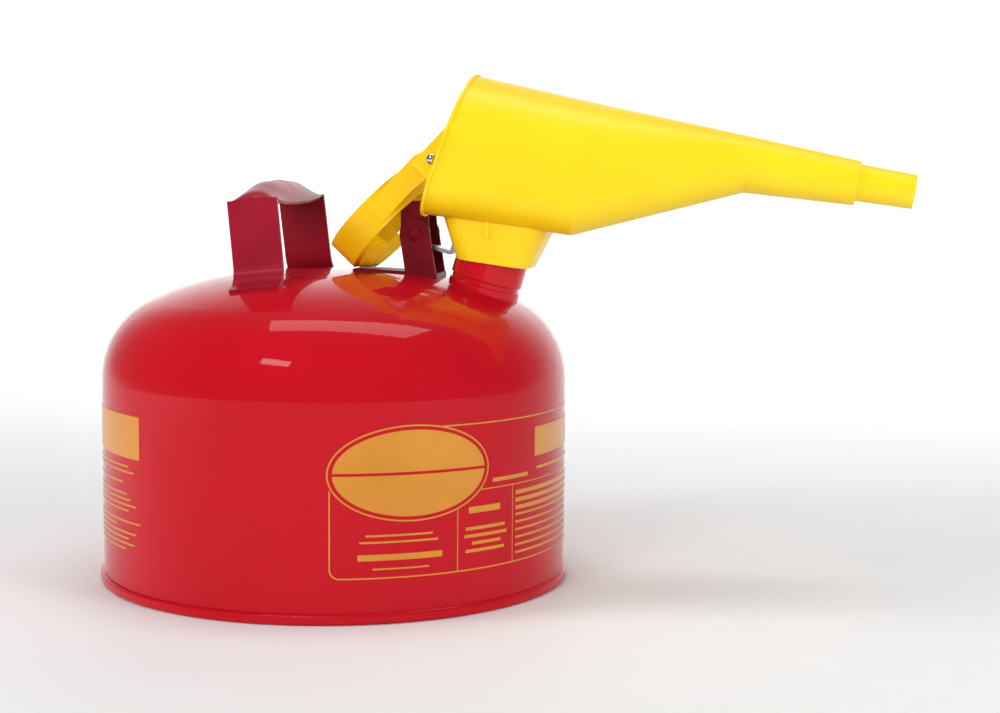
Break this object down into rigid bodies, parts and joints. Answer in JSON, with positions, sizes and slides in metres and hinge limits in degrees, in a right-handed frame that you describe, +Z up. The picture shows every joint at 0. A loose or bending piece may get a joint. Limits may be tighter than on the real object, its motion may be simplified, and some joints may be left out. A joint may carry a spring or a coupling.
{
  "type": "safety gas can",
  "caption": "Round red steel fuel can with a domed top, strap handle, sprung spout cap worked by a trigger, and a yellow pull-off funnel with a hinged keeper ring.",
  "frame": {"origin": "centre of the can's base, on the plane it stands on", "axes": "+X towards the pouring side, along the funnel; +Y across the handle; +Z up along the can's axis"},
  "size_m": [0.488, 0.2858, 0.3041],
  "materials": {
    "red_enamel": "glossy red enamel",
    "red_enamel_base": "glossy red enamel",
    "red_enamel_spout": "glossy red enamel",
    "red_enamel_neck": "glossy red enamel",
    "steel_mesh": "perforated sheet",
    "spring_steel": "satin",
    "gasket": "matt",
    "zinc": "zinc plated",
    "cap_metal": "zinc plated",
    "rivet": "satin",
    "zinc_arm": "zinc plated",
    "rivet_small": "satin",
    "dark_red": "semi-gloss dark red",
    "pin_steel": "satin",
    "washer": "satin",
    "dark_red_lever": "semi-gloss dark red",
    "spring": "drawn wire",
    "handle_red": "semi-gloss red",
    "yellow": "moulded polyethylene, soft gloss",
    "yellow_ring": "moulded polyethylene, soft gloss",
    "chrome": "bright",
    "nut": "satin"
  },
  "bodies": {
    "can": {"body_shell": "red_enamel", "bottom_pan": "red_enamel_base", "spout_flange": "red_enamel_spout", "spout_neck": "red_enamel_neck", "flame_arrester": "steel_mesh", "arrester_ring": "spring_steel", "lever_bracket": "dark_red", "pivot_pin": "pin_steel", "pivot_washers": "washer", "return_spring": "spring", "handle": "handle_red", "funnel": "yellow", "hinge_pins": "chrome", "hinge_nuts": "nut"},
    "cap_lever": {"trigger_lever": "dark_red_lever", "cap_arm": "zinc_arm", "arm_rivets": "rivet_small", "spout_cap": "cap_metal", "cap_gasket": "gasket", "gasket_washer": "zinc", "cap_rivet": "rivet"},
    "keeper": {"keeper_ring": "yellow_ring"}
  },
  "joints": [
    {"name": "cap_lever_hinge", "type": "hinge", "parent": "can", "child": "cap_lever", "pos_m": [0.052, 0, 0.209], "axis": [0, -1, 0], "range_deg": [0, 40], "stiffness_Nm_per_rad": 0.1, "springref_deg": -34.38},
    {"name": "keeper_ring_hinge", "type": "hinge", "parent": "can", "child": "keeper", "pos_m": [0.0659, 0, 0.2533], "axis": [0, 1, 0], "range_deg": [0, 95]}
  ]
}
